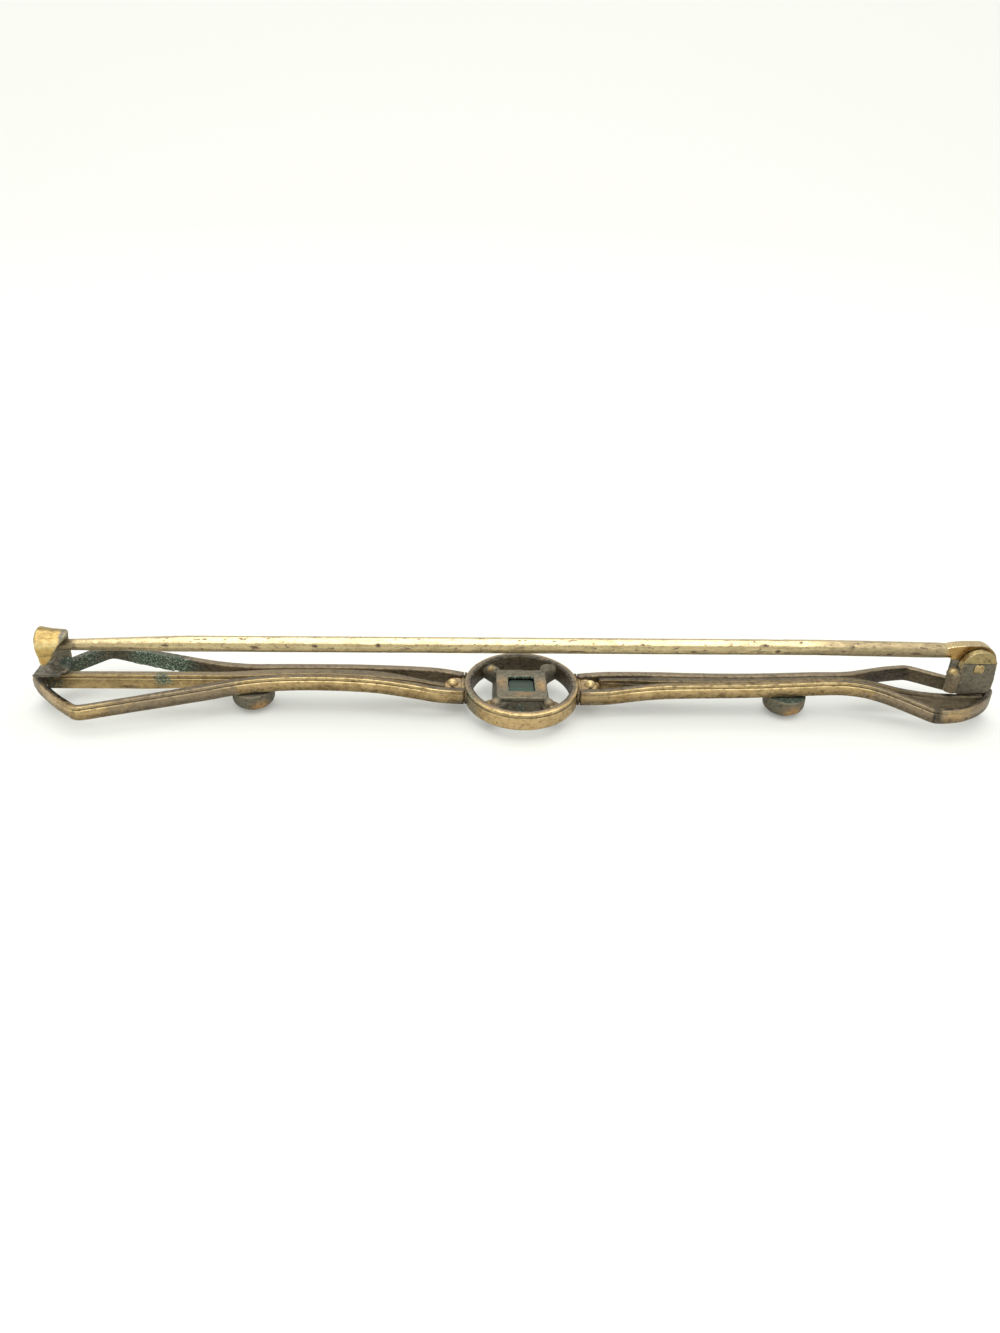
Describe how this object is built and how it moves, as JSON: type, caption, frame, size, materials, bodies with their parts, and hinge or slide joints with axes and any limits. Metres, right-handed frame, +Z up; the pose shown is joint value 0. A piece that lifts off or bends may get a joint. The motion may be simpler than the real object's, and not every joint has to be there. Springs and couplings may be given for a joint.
{
  "type": "bar brooch",
  "caption": "Slender metal bar brooch lying face down: ring with a square green stone, moulded bars with open kite-shaped ends, hinged pin and hook catch.",
  "frame": {"origin": "on the table, under the middle of the ring, which is the middle of the brooch's length and width", "axes": "+X along the brooch towards the hinge, +Y away from the open side of the hook, +Z up from the face to the back"},
  "size_m": [0.06, 0.0072, 0.0052],
  "materials": {
    "brass": "worn and mottled, dark in the lines",
    "dark_brass": "dull grey-olive tarnish",
    "gold": "bright, lightly scratched",
    "pale_gold": "bright, with dark pits",
    "stone": "polished dark green"
  },
  "bodies": {
    "brooch": {"ring": "brass", "setting": "dark_brass", "stone": "stone", "left_outline": "brass", "left_spine": "brass", "left_neck": "brass", "left_stud": "dark_brass", "right_outline": "brass", "right_spine": "brass", "right_neck": "brass", "right_stud": "dark_brass", "catch": "gold", "hinge_bracket": "dark_brass", "hinge_rivet": "gold"},
    "pin": {"pin": "pale_gold"}
  },
  "joints": [
    {"name": "pin_hinge", "type": "hinge", "parent": "brooch", "child": "pin", "pos_m": [0.0283, 0, 0.00372], "axis": [0, 1, 0], "range_deg": [0, 120]}
  ]
}
